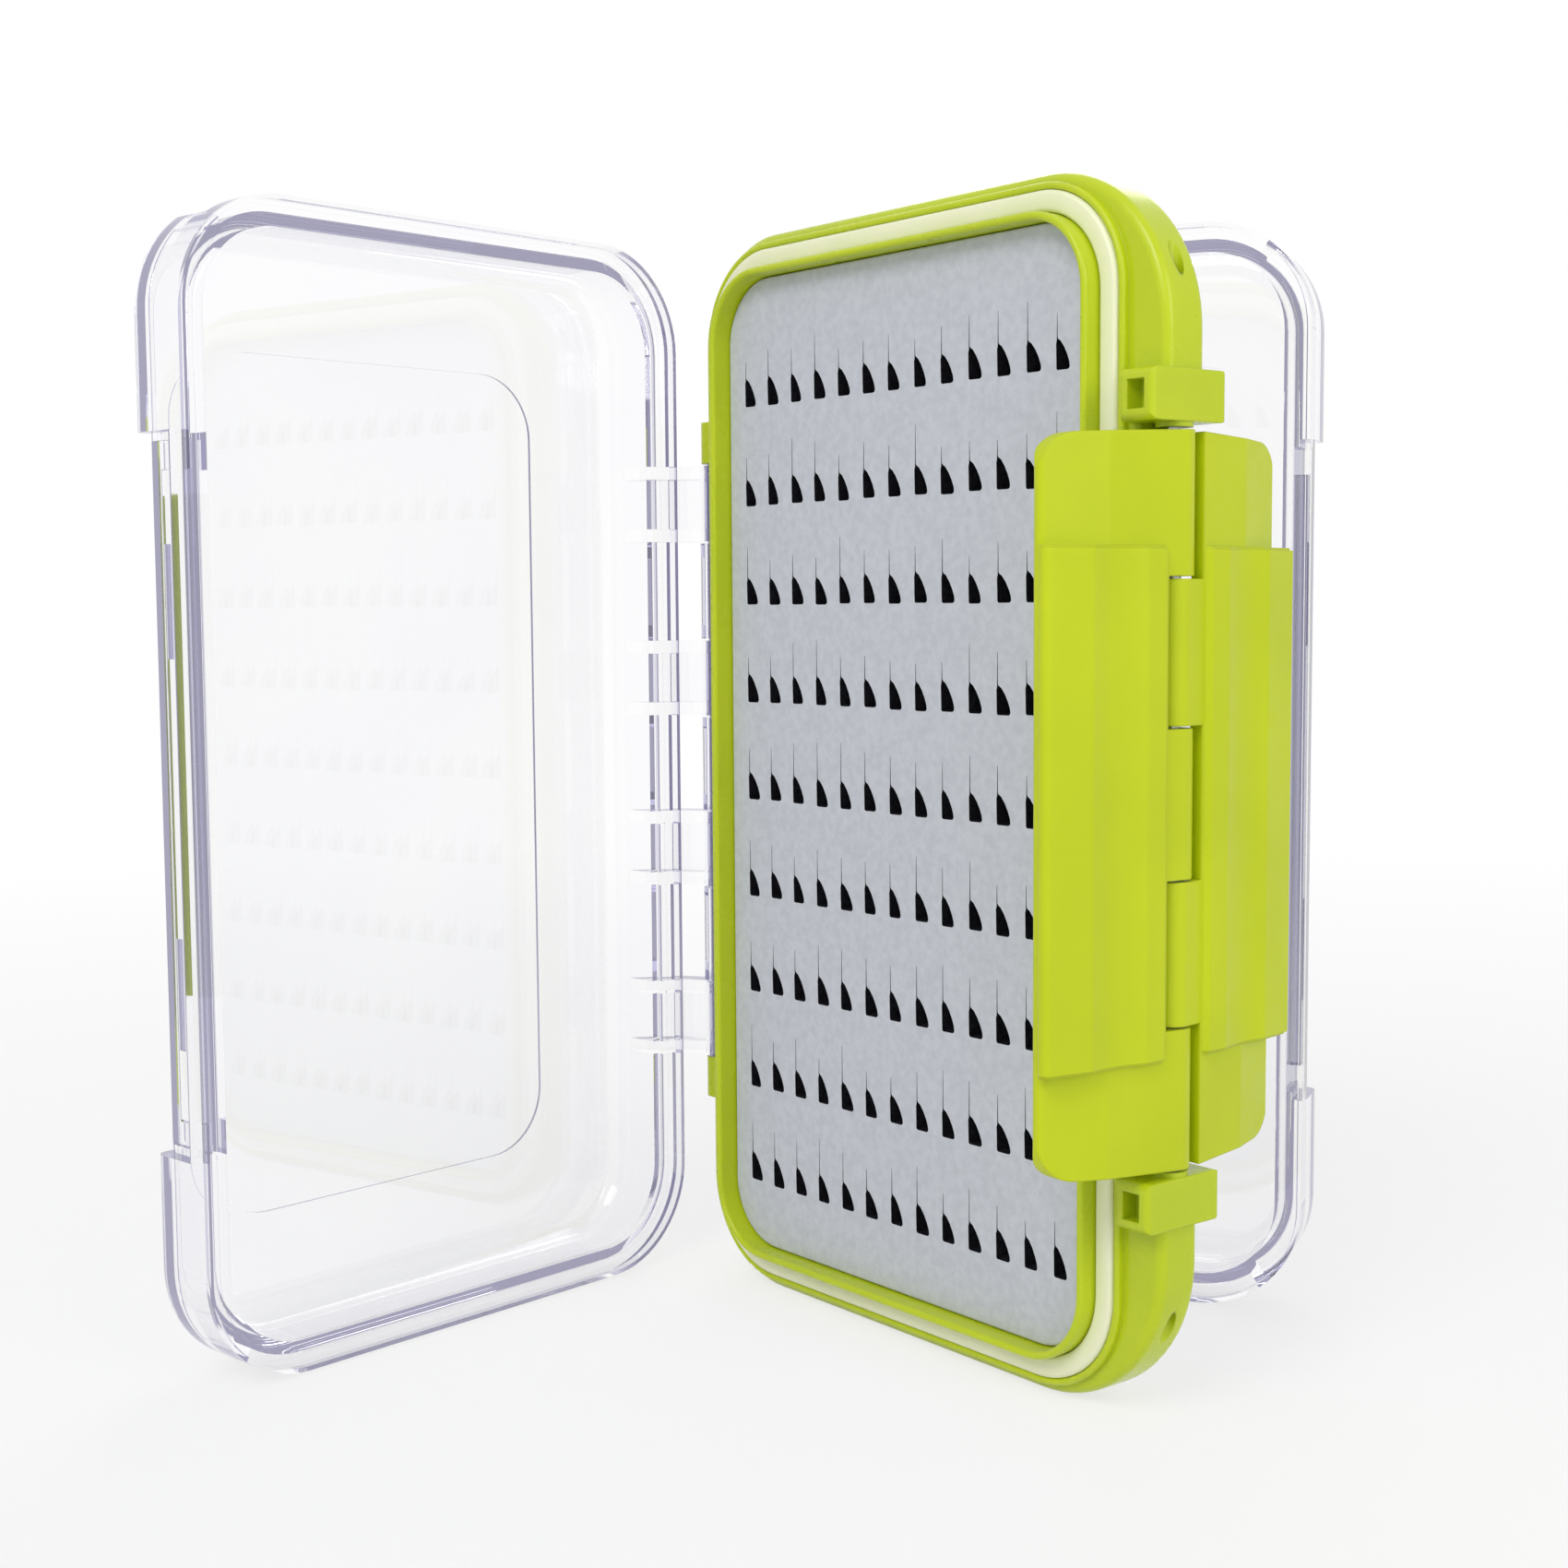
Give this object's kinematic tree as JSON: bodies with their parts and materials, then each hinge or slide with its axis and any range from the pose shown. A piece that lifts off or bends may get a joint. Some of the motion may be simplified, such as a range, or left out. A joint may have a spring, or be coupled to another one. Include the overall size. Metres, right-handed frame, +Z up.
{
  "type": "fly box",
  "caption": "Double-sided fly box: a frame with slotted foam on both sides, clear hinged lids and snap latches on one shared pin.",
  "frame": {"origin": "on the surface the box stands on, under the middle of the frame", "axes": "+X from the hinge side to the latch side, +Y from the front side to the back side, +Z up"},
  "size_m": [0.1078, 0.1413, 0.15],
  "materials": {
    "lime_plastic": "satin moulded polypropylene",
    "foam": "closed-cell foam",
    "seal": "pale silicone",
    "clear_plastic": "clear polycarbonate",
    "steel": "drawn wire"
  },
  "bodies": {
    "case": {"frame": "lime_plastic", "front_foam": "foam", "back_foam": "foam", "front_gasket": "seal", "back_gasket": "seal", "latch_pin": "steel", "hinge_pin": "steel"},
    "front_lid_body": {"front_lid": "clear_plastic"},
    "back_lid_body": {"back_lid": "clear_plastic"},
    "front_latch_body": {"front_latch": "lime_plastic"},
    "back_latch_body": {"back_latch": "lime_plastic"}
  },
  "joints": [
    {"name": "front_lid_hinge", "type": "hinge", "parent": "case", "child": "front_lid_body", "pos_m": [-0.0452, 0, 0.075], "axis": [0, 0, -1], "range_deg": [-81.2, 23.8]},
    {"name": "back_lid_hinge", "type": "hinge", "parent": "case", "child": "back_lid_body", "pos_m": [-0.0452, 0, 0.075], "axis": [0, 0, 1], "range_deg": [-28.2, 76.8]},
    {"name": "front_latch_hinge", "type": "hinge", "parent": "case", "child": "front_latch_body", "pos_m": [0.0445, 0, 0.075], "axis": [0, 0, 1], "range_deg": [-12, 46]},
    {"name": "back_latch_hinge", "type": "hinge", "parent": "case", "child": "back_latch_body", "pos_m": [0.0445, 0, 0.075], "axis": [0, 0, -1], "range_deg": [-12, 46]}
  ]
}
